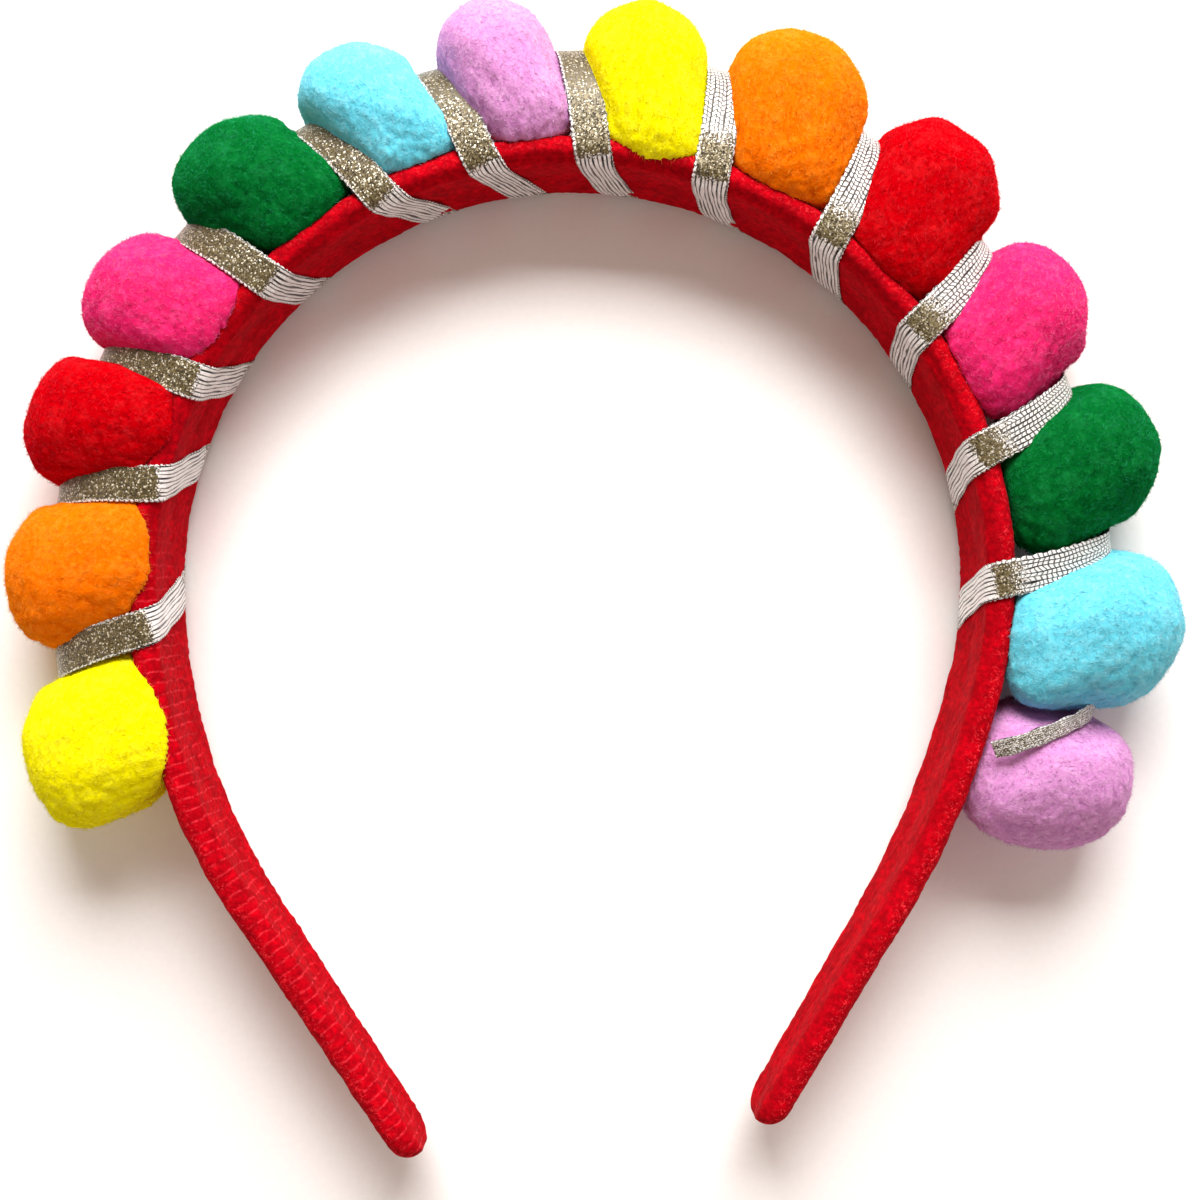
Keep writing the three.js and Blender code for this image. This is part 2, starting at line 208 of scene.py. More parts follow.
def add_node(tree, kind, links={}, values={}, **settings):
    """Adds a node, sets its properties and its sockets' values, and links sockets to other outputs."""
    node = tree.nodes.new(kind)
    for name, value in settings.items():
        setattr(node, name, value)
    for socket, value in values.items():
        node.inputs[socket].default_value = value
    for socket, source in links.items():
        tree.links.new(source, node.inputs[socket])
    return node


def new_material(name):
    material = bpy.data.materials.new(name)
    material.use_nodes = True
    material.node_tree.nodes.clear()
    return material, material.node_tree


# Cotton velvet: cut pile about half a millimetre high. Seen straight on it is deep red, and its fibre tips
# catch light at a low angle, so outlines and folds look paler and pinker than the middle.
red_velvet, tree = new_material("red_velvet")
place = add_node(tree, "ShaderNodeTexCoord")
pile = add_node(
    tree, "ShaderNodeTexNoise", {"Vector": place.outputs["Object"]},
    {"Scale": 1100, "Detail": 3.0, "Roughness": 0.6},
)
clumps = add_node(
    tree, "ShaderNodeTexNoise", {"Vector": place.outputs["Object"]},
    {"Scale": 330, "Detail": 2.0, "Roughness": 0.5, "Distortion": 0.6},
)
pile_range = add_node(
    tree, "ShaderNodeMapRange", {0: pile.outputs["Fac"]}, {1: 0.36, 2: 0.66, 3: 0.0, 4: 1.0}
)
body = add_node(
    tree, "ShaderNodeMix", {0: pile_range.outputs[0]},
    {6: colour("9a000e"), 7: colour("c60014")}, data_type="RGBA",
)
clump_range = add_node(
    tree, "ShaderNodeMapRange", {0: clumps.outputs["Fac"]}, {1: 0.4, 2: 0.62, 3: 0.0, 4: 0.42}
)
shaded = add_node(
    tree, "ShaderNodeMix", {0: clump_range.outputs[0], 6: body.outputs[2]},
    {7: colour("7a0008")}, data_type="RGBA",
)
# Painted highlights on single fibre tips, about half a millimetre apart, that lie over: bright flecks where
# they would shine.
flecks = add_node(
    tree, "ShaderNodeTexNoise", {"Vector": place.outputs["Object"]},
    {"Scale": 1900, "Detail": 1.0, "Roughness": 0.5, "Distortion": 1.2},
)
fleck_mark = add_node(tree, "ShaderNodeAttribute", attribute_name="fleck")
fleck_range = add_node(
    tree, "ShaderNodeMapRange", {0: flecks.outputs["Fac"]}, {1: 0.56, 2: 0.68, 3: 0.0, 4: 1.0}
)
fleck_share = add_node(
    tree, "ShaderNodeMath", {0: fleck_range.outputs[0], 1: fleck_mark.outputs["Fac"]}, operation="MULTIPLY"
)
flecked = add_node(
    tree, "ShaderNodeMix", {0: fleck_share.outputs[0], 6: shaded.outputs[2]},
    {7: colour("f43840")}, data_type="RGBA",
)
# The cross ribs: pale thread lines across the left leg, wavering by a noise and broken by the pile.
unrolled = add_node(tree, "ShaderNodeSeparateXYZ", {0: place.outputs["UV"]})
waver = add_node(
    tree, "ShaderNodeTexNoise", {"Vector": place.outputs["Object"]}, {"Scale": 260, "Detail": 2.0}
)
rib_run = add_node(
    tree, "ShaderNodeMath", {0: waver.outputs["Fac"], 2: unrolled.outputs[0]}, {1: 1.5},
    operation="MULTIPLY_ADD",
)
rib_count = add_node(
    tree, "ShaderNodeMath", {0: rib_run.outputs[0]}, {1: RIB_SPACING}, operation="DIVIDE"
)
rib_share = add_node(tree, "ShaderNodeMath", {0: rib_count.outputs[0]}, {1: 0.5}, operation="PINGPONG")
rib_line = add_node(
    tree, "ShaderNodeMapRange", {0: rib_share.outputs[0]}, {1: 0.13, 2: 0.02, 3: 0.0, 4: 1.0}
)
rib_mark = add_node(tree, "ShaderNodeAttribute", attribute_name="rib")
rib_broken = add_node(
    tree, "ShaderNodeMath", {0: rib_line.outputs[0], 1: pile_range.outputs[0]}, operation="MULTIPLY"
)
rib_shown = add_node(
    tree, "ShaderNodeMath", {0: rib_broken.outputs[0], 1: rib_mark.outputs["Fac"]}, operation="MULTIPLY"
)
ribbed = add_node(
    tree, "ShaderNodeMix", {0: rib_shown.outputs[0], 6: flecked.outputs[2]},
    {7: colour("ff4a58")}, data_type="RGBA",
)
relief = add_node(
    tree, "ShaderNodeMath", {0: pile.outputs["Fac"], 1: clumps.outputs["Fac"]}, operation="ADD"
)
bump = add_node(
    tree, "ShaderNodeBump", {"Height": relief.outputs[0]}, {"Strength": 0.55, "Distance": 0.0003}
)
velvet = add_node(
    tree, "ShaderNodeBsdfPrincipled", {"Base Color": ribbed.outputs[2], "Normal": bump.outputs[0]},
    {"Roughness": 0.9, "Specular IOR Level": 0.04, "Sheen Weight": 0.12, "Sheen Roughness": 0.28,
     "Sheen Tint": colour("ff7078")},
)
add_node(tree, "ShaderNodeOutputMaterial", {0: velvet.outputs[0]})

# The section is one loop of points, from the middle of the outer face over the front edge, down the inner
# face and round the back edge. Each has a place across the flat part, from -1 to 1, and a direction away.
over_edge = np.linspace(0, np.pi, 15)[1:-1]
section_lift = np.concatenate([
    np.linspace(0, 1, 4), np.ones(13), np.linspace(1, -1, 20), -np.ones(13), np.linspace(-1, 0, 4)[:-1],
])
section_depth = np.concatenate([
    np.ones(4), np.cos(over_edge), -np.ones(20), -np.cos(over_edge), np.ones(3),
])
section_rise = np.concatenate([
    np.zeros(4), np.sin(over_edge), np.zeros(20), -np.sin(over_edge), np.zeros(3),
])
# Half the thickness is also the radius of the edges.
half = BAND_THICKNESS / 2
rows = np.arange(-BAND_END[0] + TIP_ROUNDING, BAND_END[1] - TIP_ROUNDING, 0.52)
tip_turn = np.linspace(0, np.pi / 2, 14)[1:-1]
rows = np.concatenate([
    (-BAND_END[0] + TIP_ROUNDING * (1 - np.sin(tip_turn)))[::-1],
    rows,
    BAND_END[1] - TIP_ROUNDING * (1 - np.sin(tip_turn)),
])
side = (rows >= 0).astype(int)
to_tip = np.clip(1 - (BAND_END[side] - np.abs(rows)) / TIP_ROUNDING, 0, 1)
closing = np.sqrt(1 - to_tip**2)
reach = (band_width(rows) / 2 - half) * (0.3 + 0.7 * closing)
# The velvet follows the strip's edge in a soft welt, with a shallow crease below it on the crown.
on_crown = 1 - ease(100, 125, np.abs(rows))[:, None]
turn_in = np.degrees(np.arctan2(section_rise, -section_depth))
in_crease = np.exp(-(((turn_in - 38) / 16) ** 2)) * (section_lift > 0.9)
skin_point = from_band(
    rows[:, None], half + half * section_depth, reach[:, None] * section_lift + half * section_rise
)
pile_height = 0.07 * soft_noise(skin_point, 1.5, 1) + 0.1 * soft_noise(skin_point, 6, 2)
left_leg = ease(92, 112, -rows)[:, None]
rib_wave = np.cos(2 * np.pi * rows[:, None] / RIB_SPACING + 1.5 * soft_noise(skin_point, 9, 3))
lift_off = pile_height + 0.04 * left_leg * rib_wave * (section_depth < 0.2)
lift_off = lift_off - 0.35 * in_crease * on_crown
thick = (half + lift_off) * (0.12 + 0.88 * closing[:, None])
lean = half * (1 - 0.45 * (1 - closing[:, None]))
rings = from_band(
    rows[:, None],
    lean + thick * section_depth,
    reach[:, None] * section_lift + thick * section_rise,
)
poles = from_band(np.array([-BAND_END[0], BAND_END[1]]), np.full(2, half * 0.55), np.zeros(2))
middle_ring = rings[len(rows) // 2]
girth = np.cumsum(np.linalg.norm(np.diff(middle_ring, axis=0, append=middle_ring[:1]), axis=1))
band_points, band_triangles, band_flat = skin(rings, poles, rows, np.concatenate([[0], girth]))
# Painted highlights show as flecks where the pile turns over the front edge, more of them on the legs and
# on the right. Ribs fade inwards.
front_fleck = np.exp(-(((section_depth - 0.35) / 0.55) ** 2)) * (section_rise > 0.2)
leg_share = ease(105, 135, np.abs(rows))[:, None]
fleck = front_fleck * (0.4 + 0.3 * leg_share) * np.where(rows > 0, 1.1, 0.8)[:, None]
rib = left_leg * ease(0.5, -0.2, section_depth) * ease(-0.9, 0.1, section_lift) * 0.45
velvet_band = make_piece(
    "velvet_cover", band_points, band_triangles, red_velvet, band_flat,
    fleck=np.append(fleck.ravel(), [0, 0]), rib=np.append(rib.ravel(), [0, 0]),
)
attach(velvet_band, "root")
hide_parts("velvet_band")


# The ribbon: one length of 6 mm woven lurex tape wound round band and pompoms, drawn tight, so that it
# sinks into each gap between two pompoms and runs flat over the band's edge. Each pompom's place, reach
# and width come first, because the gaps lie between them.
POMPOM_SIZE = 25.3
POMPOM_SINK = 0.9
FIRST_BALL = -129.5
LAST_BALL = 133.6
# Place from the first pompom to the last, then reach out, width along the band, height and lift, each in
# pompom sizes.
POMPOM_ROWS = np.array([
    [0.000, 0.885, 1.06, 1.00, 0.00],
    [0.096, 0.860, 0.98, 1.00, 0.00],
    [0.175, 0.880, 0.96, 1.00, 0.00],
    [0.243, 0.885, 0.92, 1.00, 0.00],
    [0.319, 0.955, 0.95, 1.00, 0.00],
    [0.388, 0.970, 0.87, 1.00, 0.00],
    [0.457, 1.010, 0.84, 1.00, 0.00],
    [0.531, 0.975, 0.83, 1.00, 0.00],
    [0.606, 1.070, 0.97, 1.00, 0.00],
    [0.685, 1.070, 0.95, 1.00, 0.00],
    [0.760, 1.020, 0.93, 1.00, 0.00],
    [0.836, 1.100, 0.97, 1.00, 0.00],
    [0.918, 1.170, 1.06, 1.04, 0.02],
    [1.000, 1.070, 0.98, 0.96, -0.02],
])
ball_place = FIRST_BALL + (LAST_BALL - FIRST_BALL) * POMPOM_ROWS[:, 0]
ball_reach = POMPOM_ROWS[:, 1] * POMPOM_SIZE
ball_half = np.stack([
    POMPOM_ROWS[:, 2] * POMPOM_SIZE / 2,
    (ball_reach + POMPOM_SINK) / 2,
    POMPOM_ROWS[:, 3] * POMPOM_SIZE / 2,
], -1)
ball_out = on_band(ball_place)[1]
ball_along = np.stack([ball_out[:, 1], -ball_out[:, 0], 0 * ball_place], -1)
ball_middle = from_band(
    ball_place, BAND_THICKNESS + (ball_reach - POMPOM_SINK) / 2, POMPOM_ROWS[:, 4] * POMPOM_SIZE
)

RIBBON_WIDTH = 6
RIBBON_RISE = 3.2
RIBBON_SWING = 0.226
RIBBON_CLEARANCE = 0.25
RIBBON_START = -0.26
RIBBON_END = 12.28
# How far each turn lies beside its even course: in the gap, on the band's front edge, on the inner face.
RIBBON_SHIFTS = np.array([
    [-2.8, -0.7, -0.5], [-2.0, 0.0, 1.0], [-2.6, -1.8, -2.0], [-2.1, -0.5, -1.3], [-1.2, 2.3, 5.5],
    [-1.7, 1.2, 3.2], [-2.0, 0.0, 0.0], [-1.4, 0.0, -1.5], [-1.2, 0.0, -0.5], [-1.5, 0.0, -1.0],
    [-0.6, 2.2, 1.8], [-0.8, 1.8, 1.0], [-2.5, -1.5, 0.0],
])
split = ball_half[:-1, 0] / (ball_half[:-1, 0] + ball_half[1:, 0])
gap_place = ball_place[:-1] + (ball_place[1:] - ball_place[:-1]) * split
gap_depth = BAND_THICKNESS + (ball_reach[:-1] + ball_reach[1:]) / 4 + RIBBON_RISE
gap_place = np.concatenate(
    [[2 * ball_place[0] - gap_place[0]], gap_place, [2 * ball_place[-1] - gap_place[-1]]]
)
gap_depth = np.concatenate([gap_depth[:1], gap_depth, gap_depth[-1:]])


def gap_at(turns):
    """Place and depth of the gap after so many turns: a smooth curve through the gaps, each stretch a cubic
    whose slope at a gap is half the step between that gap's neighbours."""
    known = np.stack([gap_place, gap_depth], -1)
    last = len(known) - 1
    run = np.clip(turns + 1, 0, last)
    start = np.minimum(run.astype(int), last - 1)
    t = (run - start)[..., None]
    p0, p1 = known[np.maximum(start - 1, 0)], known[start]
    p2, p3 = known[start + 1], known[np.minimum(start + 2, last)]
    v0, v1 = (p2 - p0) / 2, (p3 - p1) / 2
    found = (2 * p1 - 2 * p2 + v0 + v1) * t**3 + (3 * p2 - 3 * p1 - 2 * v0 - v1) * t**2 + v0 * t + p1
    return found[..., 0], found[..., 1]


# The shifts hold at these shares of each turn, and between them they change evenly, smoothed over a fifth
# of a turn.
SHIFT_SHARES = [0.03, 0.34, 0.6]
shift_turns = (np.arange(13)[:, None] + SHIFT_SHARES).ravel()
even_turns = np.arange(-2, 16, 0.01)
smoothing = np.hanning(23) / np.hanning(23).sum()
even_shifts = np.convolve(np.interp(even_turns, shift_turns, RIBBON_SHIFTS.ravel()), smoothing, "same")

# The parts of one turn end at these shares of it: front, front edge, inner face, back edge and back.
TURN_ENDS = np.array([0.31, 0.39, 0.61, 0.69, 1.0])


def ribbon_stand(share):
    """How far the ribbon's underside stands off the core of the band's section: the edge's radius and a
    clearance, less where it is drawn into the pile on the back edge."""
    return half + RIBBON_CLEARANCE - 0.3 * ease(0.56, 0.61, share) * ease(0.75, 0.69, share)


def ribbon_route(turns):
    """Points on the ribbon's underside and directions away from what it lies on. In the band's section it
    comes up in a gap and bends over to the front edge in a cubic curve, turns a quarter circle, runs down
    the inner face, turns again and goes back in the mirror of the first curve. Along the band it lags
    behind an even spiral by the swing times the sine squared of half a turn, and its shifts are added."""
    share = turns - np.floor(turns)
    lag = RIBBON_SWING * np.sin(np.pi * share) ** 2
    slant = 4 * np.maximum(0, turns - 12) ** 2
    place, depth = gap_at(turns - lag + slant)
    place = place + np.interp(turns, even_turns, even_shifts)
    off = ribbon_stand(share)
    reach = band_width(place) / 2 - half
    rise = reach + off
    part = np.searchsorted(TURN_ENDS, share, side="right")
    start = np.concatenate([[0], TURN_ENDS])[part]
    s = (share - start) / (TURN_ENDS[part] - start)
    up = np.where(part == 0, s, 1 - s)
    # The four points of the front's curve, outwards and upwards.
    soft = 0.6 * (depth - half)
    outs = [depth, depth, depth - soft, half]
    ups = [0.0, 0.75 * rise, rise, rise]
    weights = [(1 - up) ** 3, 3 * up * (1 - up) ** 2, 3 * up**2 * (1 - up), up**3]
    slopes = [(1 - up) ** 2, 2 * up * (1 - up), up**2]
    curve_out = sum(w * p for w, p in zip(weights, outs))
    curve_up = sum(w * p for w, p in zip(weights, ups))
    way_out = sum(w * (q - p) for w, p, q in zip(slopes, outs, outs[1:]))
    way_up = sum(w * (q - p) for w, p, q in zip(slopes, ups, ups[1:]))
    length = np.hypot(way_out, way_up)
    front = [curve_out, curve_up, way_up / length, -way_out / length]
    back = [curve_out, -curve_up, way_up / length, way_out / length]
    turned = np.pi / 2 * (1 + s)
    edge = [half + off * np.cos(turned), reach + off * np.sin(turned), np.cos(turned), np.sin(turned)]
    inner = [half - off, reach * (1 - 2 * s), -1.0, 0.0]
    under = [half + off * np.cos(turned + np.pi / 2), -reach + off * np.sin(turned + np.pi / 2)]
    under += [np.cos(turned + np.pi / 2), np.sin(turned + np.pi / 2)]
    routes = [front, edge, inner, under, back]
    out, height, away_out, away_up = (np.choose(part, [route[k] for route in routes]) for k in range(4))
    # The last turn rises over the front of the last pompom and comes down to its end.
    height = height + 2.8 * ease(12.08, 12.22, turns) * ease(12.34, 12.25, turns)
    point = from_band(place, out, height)
    away = on_band(place)[1] * away_out[..., None]
    away[..., 2] = away_up
    return point, away


# Lurex tape: flat metallised film strips woven with fine dark threads, in cells of about 0.2 mm, each a
# small tilted mirror. Where the tape lies flat it is painted khaki, its dull threads with a painted
# reflection of the dim room, and where it is bent, or on the later turns' outer stretches, its film is
# painted bright as a painted reflection and the dark lines between the strips stand out.
THREAD_SPACING = 0.72
CROSS_SPACING = 0.85
lurex, tree = new_material("woven_lurex_tape")
place = add_node(tree, "ShaderNodeTexCoord")
# The zone mark says where the tape is painted bright as a painted reflection, and the grid mark where its
# cross threads show.
bright_mark = add_node(tree, "ShaderNodeAttribute", attribute_name="bright")
grid_mark = add_node(tree, "ShaderNodeAttribute", attribute_name="grid")
cells = add_node(
    tree, "ShaderNodeTexVoronoi", {"Vector": place.outputs["UV"]}, {"Scale": 4.8, "Randomness": 1.0},
    voronoi_dimensions="2D",
)
inside = add_node(
    tree, "ShaderNodeVectorMath", {0: place.outputs["UV"], 1: cells.outputs["Position"]},
    operation="SUBTRACT",
)
lean = add_node(
    tree, "ShaderNodeVectorMath", {0: cells.outputs["Color"]}, {1: (0.5, 0.5, 0.5)}, operation="SUBTRACT"
)
tilt = add_node(
    tree, "ShaderNodeVectorMath", {0: inside.outputs[0], 1: lean.outputs[0]}, operation="DOT_PRODUCT"
)
split_uv = add_node(tree, "ShaderNodeSeparateXYZ", {0: place.outputs["UV"]})
# Dark lines between the film strips run lengthwise. They waver, swell and break off, and where the cross
# threads show too they are thin and even.
stretched = add_node(
    tree, "ShaderNodeVectorMath", {0: place.outputs["UV"]}, {1: (0.14, 1.0, 1.0)}, operation="MULTIPLY"
)
sway = add_node(
    tree, "ShaderNodeTexNoise", {"Vector": stretched.outputs[0]}, {"Scale": 0.9, "Detail": 1.0}
)
swayed = add_node(
    tree, "ShaderNodeMath", {0: sway.outputs["Fac"], 2: split_uv.outputs[1]}, {1: 0.9},
    operation="MULTIPLY_ADD",
)
thread_run = add_node(
    tree, "ShaderNodeMath", {0: swayed.outputs[0]}, {1: THREAD_SPACING}, operation="DIVIDE"
)
thread_share = add_node(
    tree, "ShaderNodeMath", {0: thread_run.outputs[0]}, {1: 0.5}, operation="PINGPONG"
)
swell = add_node(
    tree, "ShaderNodeTexNoise", {"Vector": stretched.outputs[0]}, {"Scale": 1.7, "Detail": 1.0}
)
line_wide = add_node(
    tree, "ShaderNodeMapRange", {0: swell.outputs["Fac"]}, {1: 0.35, 2: 0.65, 3: 0.08, 4: 0.25}
)
line_here = add_node(
    tree, "ShaderNodeMix", {0: grid_mark.outputs["Fac"], 2: line_wide.outputs[0]}, {3: 0.12},
    data_type="FLOAT",
)
from_line = add_node(
    tree, "ShaderNodeMath", {0: line_here.outputs[0], 1: thread_share.outputs[0]}, operation="SUBTRACT"
)
thread_line = add_node(
    tree, "ShaderNodeMapRange", {0: from_line.outputs[0]}, {1: -0.03, 2: 0.05, 3: 0.0, 4: 1.0}
)
cross_sway = add_node(
    tree, "ShaderNodeMath", {0: sway.outputs["Fac"], 2: split_uv.outputs[0]}, {1: 2.5},
    operation="MULTIPLY_ADD",
)
cross_run = add_node(
    tree, "ShaderNodeMath", {0: cross_sway.outputs[0]}, {1: CROSS_SPACING}, operation="DIVIDE"
)
cross_share = add_node(
    tree, "ShaderNodeMath", {0: cross_run.outputs[0]}, {1: 0.5}, operation="PINGPONG"
)
cross_line = add_node(
    tree, "ShaderNodeMapRange", {0: cross_share.outputs[0]}, {1: 0.2, 2: 0.08, 3: 0.0, 4: 0.9}
)
cross_shown = add_node(
    tree, "ShaderNodeMath", {0: cross_line.outputs[0], 1: grid_mark.outputs["Fac"]}, operation="MULTIPLY"
)
both_lines = add_node(
    tree, "ShaderNodeMath", {0: thread_line.outputs[0], 1: cross_shown.outputs[0]}, operation="MAXIMUM"
)
line_share = add_node(
    tree, "ShaderNodeMapRange", {0: bright_mark.outputs["Fac"]}, {1: 0.2, 2: 0.8, 3: 0.3, 4: 1.0}
)
lines_shown = add_node(
    tree, "ShaderNodeMath", {0: both_lines.outputs[0], 1: line_share.outputs[0]}, operation="MULTIPLY"
)
# Flat parts: each cell is painted anything from the threads' dark brown over khaki, a painted reflection of
# the dim room, to a painted glint.
cell_split = add_node(tree, "ShaderNodeSeparateColor", {0: cells.outputs["Color"]})
threads_and_dim_reflection = add_node(
    tree, "ShaderNodeMix", {0: cell_split.outputs[0]}, {6: colour("2a2214"), 7: colour("7c6e4a")},
    data_type="RGBA",
)
glint_range = add_node(
    tree, "ShaderNodeMapRange", {0: cell_split.outputs[1]}, {1: 0.84, 2: 0.95, 3: 0.0, 4: 0.75}
)
flat_reflection_and_glints = add_node(
    tree, "ShaderNodeMix", {0: glint_range.outputs[0], 6: threads_and_dim_reflection.outputs[2]}, {7: colour("ece6d2")},
    data_type="RGBA",
)
# In the bright zone the film is painted near white, as a painted reflection.
bright_film_reflection = add_node(
    tree, "ShaderNodeMix", {0: cell_split.outputs[0]}, {6: colour("dcdad6"), 7: colour("ffffff")},
    data_type="RGBA",
)
# Between the flat parts and the painted bright reflection some cells are already painted bright and some
# aren't.
dither = add_node(
    tree, "ShaderNodeMath", {0: cell_split.outputs[2], 2: bright_mark.outputs["Fac"]}, {1: 0.7},
    operation="MULTIPLY_ADD",
)
zone = add_node(
    tree, "ShaderNodeMapRange", {0: dither.outputs[0]}, {1: 0.78, 2: 0.92, 3: 0.0, 4: 1.0}
)
zoned = add_node(
    tree, "ShaderNodeMix", {0: zone.outputs[0], 6: flat_reflection_and_glints.outputs[2], 7: bright_film_reflection.outputs[2]},
    data_type="RGBA",
)
woven = add_node(
    tree, "ShaderNodeMix", {0: lines_shown.outputs[0], 6: zoned.outputs[2]}, {7: colour("0e0b08")},
    data_type="RGBA",
)
# The strips are rounded, and where cross threads show, they are rows of beads.
bead = add_node(
    tree, "ShaderNodeMath", {0: both_lines.outputs[0], 1: bright_mark.outputs["Fac"]}, operation="MULTIPLY"
)
rounded = add_node(tree, "ShaderNodeMath", {0: bead.outputs[0]}, {1: -0.13}, operation="MULTIPLY")
height = add_node(
    tree, "ShaderNodeMath", {0: tilt.outputs["Value"], 2: rounded.outputs[0]}, {1: 0.35},
    operation="MULTIPLY_ADD",
)
bump = add_node(
    tree, "ShaderNodeBump", {"Height": height.outputs[0]}, {"Strength": 1.0, "Distance": 0.0009}
)
mirror = add_node(
    tree, "ShaderNodeMapRange", {0: bright_mark.outputs["Fac"]}, {1: 0.0, 2: 1.0, 3: 0.2, 4: 0.15}
)
tape = add_node(
    tree, "ShaderNodeBsdfPrincipled",
    {"Base Color": woven.outputs[2], "Normal": bump.outputs[0], "Metallic": mirror.outputs[0]},
    {"Roughness": 0.34, "Specular IOR Level": 0.4, "Sheen Weight": 0.8, "Sheen Roughness": 0.3},
)
add_node(tree, "ShaderNodeOutputMaterial", {0: tape.outputs[0]})

# The strip: its loop of points goes over the top from edge to edge and back below. Its edges have small
# loops and wave a little, and it is gathered behind the band and at its free end.
LOOP_SPACING = 0.8
turns = np.arange(RIBBON_START, RIBBON_END, 1 / 150)
path, away = ribbon_route(turns)
path = path - away * 1.6 * ease(RIBBON_END - 0.04, RIBBON_END, turns)[:, None]
way = np.gradient(path, axis=0)
run = np.concatenate([[0], np.cumsum(np.linalg.norm(np.diff(path, axis=0), axis=1))])
across = np.cross(way, away)
across /= np.linalg.norm(across, axis=1, keepdims=True)
ring_across = np.array([1, 0.94, 0.8, 0.6, 0.3, 0, -0.3, -0.6, -0.8, -0.94, -1, -0.7, 0, 0.7])
ring_up = np.array([0.06, 0.16, 0.13, 0.17, 0.19, 0.2, 0.19, 0.17, 0.13, 0.16, 0.06, 0, 0, 0])
loops = 0.14 * np.sin(2 * np.pi * run / LOOP_SPACING)[:, None]
loops = loops * (np.abs(ring_across) > 0.99) * np.sign(ring_across)
narrow = 1 - 0.33 * ease(0.17, 0, np.abs((turns + 0.5) % 1 - 0.5)) - 0.53 * ease(12, 12.15, turns)
spread = ring_across * RIBBON_WIDTH / 2 * narrow[:, None] + loops
wave = 0.12 * soft_noise(np.stack([run, 0 * run], -1), 7, 5)[:, None] * np.abs(ring_across)
rings = (
    path[:, None]
    + across[:, None] * spread[..., None]
    + away[:, None] * (ring_up + wave)[..., None]
)
# Over the band's edges and inner face the strip hugs the band across its whole width: each point keeps its
# direction from the core of the band's section and gets the strip's own distance from it.
share = turns % 1
place, depth = off_band(rings)
lift = rings[..., 2] - BAND_HEIGHT
depth = depth + BAND_LEAN * np.maximum(0, -lift)
core = np.sign(lift) * np.minimum(np.abs(lift), band_width(place) / 2 - half)
stand = ribbon_stand(share)[:, None] + ring_up + wave
factor = stand / np.hypot(depth - half, lift - core)
hugging = from_band(place, half + (depth - half) * factor, core + (lift - core) * factor)
hug_share = (ease(0.3, 0.34, share) * ease(0.74, 0.7, share))[:, None, None]
rings = rings + hug_share * (hugging - rings)
# The tape is painted bright, as a painted reflection, from where it bends over the band's edge on, and its
# edges get a painted highlight, stronger on one edge. From the eighth turn on its outer stretch between the
# pompoms is painted bright too, with its cross threads showing. That stretch ends at a share of the turn of
# its own, and the free end is painted half bright.
lit_stretch_end = np.interp(np.floor(turns), np.arange(7, 13), [0.235, 0.257, 0.26, 0.264, 0.28, -1])
lit_outer_stretch = ease(0.045, -0.045, share - lit_stretch_end) * ease(0.01, 0.06, share) * (turns > 6.9)
bent_reflection = ease(0.325, 0.36, share) * (0.4 + 0.6 * ease(0.63, 0.59, share)) * ease(0.8, 0.72, share)
bright = np.maximum(np.maximum(bent_reflection, lit_outer_stretch), 0.45 * (turns > 11.95))[:, None]
edge_highlight = ease(0.84, 0.93, np.abs(ring_across)) * np.where(ring_across > 0, 0.9, 0.55)
bright = np.maximum(bright, edge_highlight)
grid = np.maximum(lit_outer_stretch[:, None], np.abs(ring_across) > 0.9)
ribbon_points, ribbon_triangles, ribbon_flat = skin(
    rings, [rings[0].mean(0), rings[-1].mean(0)], run, np.append(ring_across, 1) * RIBBON_WIDTH / 2 + 3
)
silver_ribbon = make_piece(
    "lurex_ribbon", ribbon_points, ribbon_triangles, lurex, ribbon_flat,
    bright=np.append(bright.ravel(), [0, 0]), grid=np.append(grid.ravel(), [0, 0]),
)
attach(silver_ribbon, "root")
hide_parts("silver_ribbon")


# The pompoms: balls of soft acrylic yarn, wound, tied, cut and trimmed round, then glued to the band. Each
# is pressed by its neighbours, the ribbon, the band and the table. The pile is one closed surface with
# clumps and creases, and thousands of stray fibres stand out of it, joined with it in one mesh.
def press(distance, softness):
    """The part of a distance past a plane that has to be taken back: close to it beyond the plane, and
    fading to nothing before it, as half of d plus the root of d squared and softness squared."""
    return (distance + np.sqrt(distance**2 + softness**2)) / 2


# How far each pompom's front hangs in over the band, and how much narrower its yarn was cut. The relief is
# laid out on a ball of one radius, whatever the pompom's own.
POMPOM_OVERHANG = [5.4, 6.2, 5.2, 5.0, 3.2, 2.4, 2.8, 5.2, 3.6, 3.8, 2.8, 1.2, 2.0, 0.5]
POMPOM_TRIM = [1, 1, 1, 0.97, 1, 0.98, 0.94, 1, 1, 1, 1, 1, 0.96, 1]
RELIEF_RADIUS = 12.5


def in_world(ball, ways):
    """A pompom's own directions (along the band, outwards, up) as directions of the part."""
    return ways[:, :1] * ball_along[ball] + ways[:, 1:2] * ball_out[ball] + ways[:, 2:] * [0, 0, 1]


def pile_relief(ball, turned):
    """How far the trimmed pile stands out, in millimetres, in world directions from a pompom's middle, and
    how much each point lies in a crease, which is painted darker as shade: one broad noise, and puffs,
    which are the size of a noise, so that creases run where it passes zero. The pile is looser low in the
    picture, with more painted crease shade there."""
    at = turned * RELIEF_RADIUS
    puffs = 0.2 * np.abs(soft_noise(at, 4.0, 200 + ball))
    puffs = puffs + 0.16 * np.abs(soft_noise(at, 1.9, 220 + ball))
    fine = 0.06 * soft_noise(at, 1.2, 240 + ball)
    loose = 0.35 + 0.9 * np.clip(0.35 - turned[:, 1], 0, 1)
    crease = np.clip(loose, 0, 1) * ease(0.12, 0, puffs)
    return 0.3 * soft_noise(at, 8, 100 + ball) + (1.2 * puffs - 0.16 + fine) * loose, crease


